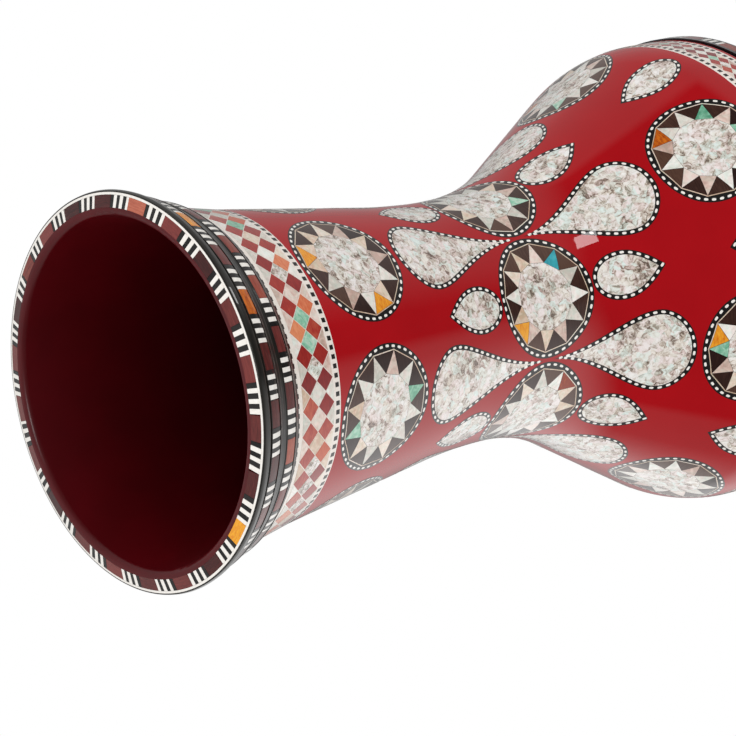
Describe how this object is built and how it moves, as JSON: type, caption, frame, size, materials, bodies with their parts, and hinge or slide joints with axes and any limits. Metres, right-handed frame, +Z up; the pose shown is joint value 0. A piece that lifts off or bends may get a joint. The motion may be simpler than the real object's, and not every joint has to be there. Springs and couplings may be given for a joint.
{
  "type": "goblet drum",
  "caption": "Upright goblet hand drum: flared cast shell with mosaic inlay under red lacquer, a film head, and a tension ring drawn down by tuning bolts.",
  "frame": {"origin": "centre of the bell rim's resting plane, at the bottom of the standing drum", "axes": "+Z up along the drum's axis towards the head; +X through the first tuning bolt"},
  "size_m": [0.28, 0.28, 0.451],
  "materials": {
    "interior_enamel": "dark red enamel on cast aluminium",
    "red_lacquer": "clear-coated red resin lacquer",
    "black_resin": "polished black resin",
    "ring_lacquer": "gloss black on cast aluminium",
    "rosewood": "polished under lacquer",
    "slip_laminate": "laminated ebony and bone slips",
    "bone": "polished",
    "padauk": "polished under lacquer",
    "mother_of_pearl": "crushed shell set in clear resin",
    "ebony": "polished under lacquer",
    "head_film": "translucent white film",
    "hoop_aluminium": "mill finish",
    "bright_steel": "zinc plated"
  },
  "bodies": {
    "shell": {"bell_drop_borders": "ebony", "bell_drop_pearls": "mother_of_pearl", "bell_leaf_borders": "ebony", "bell_leaf_pearls": "mother_of_pearl", "bell_roundel_borders": "ebony", "bell_roundel_grounds": "ebony", "bell_roundel_stars": "mother_of_pearl", "bowl_drop_borders": "ebony", "bowl_drop_pearls": "mother_of_pearl", "bowl_leaf_borders": "ebony", "bowl_leaf_pearls": "mother_of_pearl", "bowl_roundel_borders": "ebony", "bowl_roundel_grounds": "ebony", "bowl_roundel_stars": "mother_of_pearl", "checker_ivory_edges": "bone", "checker_pearl_diamonds": "mother_of_pearl", "checker_red_diamonds": "padauk", "collar_moulding": "black_resin", "collar_row_a_slip_blocks": "slip_laminate", "collar_row_a_tiles": "rosewood", "collar_row_b_slip_blocks": "slip_laminate", "collar_row_b_tiles": "rosewood", "lip_slip_blocks": "slip_laminate", "lip_tiles": "rosewood", "lip_white_line": "bone", "lower_stringing": "bone", "red_lacquer": "red_lacquer", "shell_casting": "interior_enamel", "shoulder_band": "bone", "shoulder_leaf_borders": "ebony", "shoulder_leaf_pearls": "mother_of_pearl", "upper_stringing": "bone", "waist_roundel_borders": "ebony", "waist_roundel_grounds": "ebony", "waist_roundel_stars": "mother_of_pearl"},
    "ring": {"tension_ring": "ring_lacquer", "ring_tiles": "rosewood", "ring_slip_blocks": "slip_laminate", "ring_washers": "bright_steel"},
    "head": {"drum_head": "head_film", "flesh_hoop": "hoop_aluminium"},
    "tuning_bolt_1": {"tuning_bolt_1": "bright_steel"},
    "tuning_bolt_2": {"tuning_bolt_2": "bright_steel"},
    "tuning_bolt_3": {"tuning_bolt_3": "bright_steel"},
    "tuning_bolt_4": {"tuning_bolt_4": "bright_steel"},
    "tuning_bolt_5": {"tuning_bolt_5": "bright_steel"},
    "tuning_bolt_6": {"tuning_bolt_6": "bright_steel"},
    "tuning_bolt_7": {"tuning_bolt_7": "bright_steel"},
    "tuning_bolt_8": {"tuning_bolt_8": "bright_steel"}
  },
  "joints": [
    {"name": "ring_lift", "type": "slide", "parent": "shell", "child": "ring", "axis": [0, 0, 1], "range_m": [0, 0.022]},
    {"name": "head_lift", "type": "slide", "parent": "shell", "child": "head", "axis": [0, 0, 1], "range_m": [0, 0.0221]},
    {"name": "bolt_1_turn", "type": "hinge", "parent": "ring", "child": "tuning_bolt_1", "pos_m": [0.1285, 0, 0.4445], "axis": [0, 0, 1], "range_deg": [0, 7921]},
    {"name": "bolt_2_turn", "type": "hinge", "parent": "ring", "child": "tuning_bolt_2", "pos_m": [0.09086, 0.09086, 0.4445], "axis": [0, 0, 1], "range_deg": [0, 7921]},
    {"name": "bolt_3_turn", "type": "hinge", "parent": "ring", "child": "tuning_bolt_3", "pos_m": [0, 0.1285, 0.4445], "axis": [0, 0, 1], "range_deg": [0, 7921]},
    {"name": "bolt_4_turn", "type": "hinge", "parent": "ring", "child": "tuning_bolt_4", "pos_m": [-0.09086, 0.09086, 0.4445], "axis": [0, 0, 1], "range_deg": [0, 7921]},
    {"name": "bolt_5_turn", "type": "hinge", "parent": "ring", "child": "tuning_bolt_5", "pos_m": [-0.1285, 0, 0.4445], "axis": [0, 0, 1], "range_deg": [0, 7921]},
    {"name": "bolt_6_turn", "type": "hinge", "parent": "ring", "child": "tuning_bolt_6", "pos_m": [-0.09086, -0.09086, 0.4445], "axis": [0, 0, 1], "range_deg": [0, 7921]},
    {"name": "bolt_7_turn", "type": "hinge", "parent": "ring", "child": "tuning_bolt_7", "pos_m": [0, -0.1285, 0.4445], "axis": [0, 0, 1], "range_deg": [0, 7921]},
    {"name": "bolt_8_turn", "type": "hinge", "parent": "ring", "child": "tuning_bolt_8", "pos_m": [0.09086, -0.09086, 0.4445], "axis": [0, 0, 1], "range_deg": [0, 7921]}
  ],
  "couplings": [
    {"joint": "head_lift", "follows": "ring_lift", "ratio": 1},
    {"joint": "bolt_1_turn", "follows": "ring_lift", "rad_per_m": 6283.2},
    {"joint": "bolt_2_turn", "follows": "ring_lift", "rad_per_m": 6283.2},
    {"joint": "bolt_3_turn", "follows": "ring_lift", "rad_per_m": 6283.2},
    {"joint": "bolt_4_turn", "follows": "ring_lift", "rad_per_m": 6283.2},
    {"joint": "bolt_5_turn", "follows": "ring_lift", "rad_per_m": 6283.2},
    {"joint": "bolt_6_turn", "follows": "ring_lift", "rad_per_m": 6283.2},
    {"joint": "bolt_7_turn", "follows": "ring_lift", "rad_per_m": 6283.2},
    {"joint": "bolt_8_turn", "follows": "ring_lift", "rad_per_m": 6283.2}
  ]
}
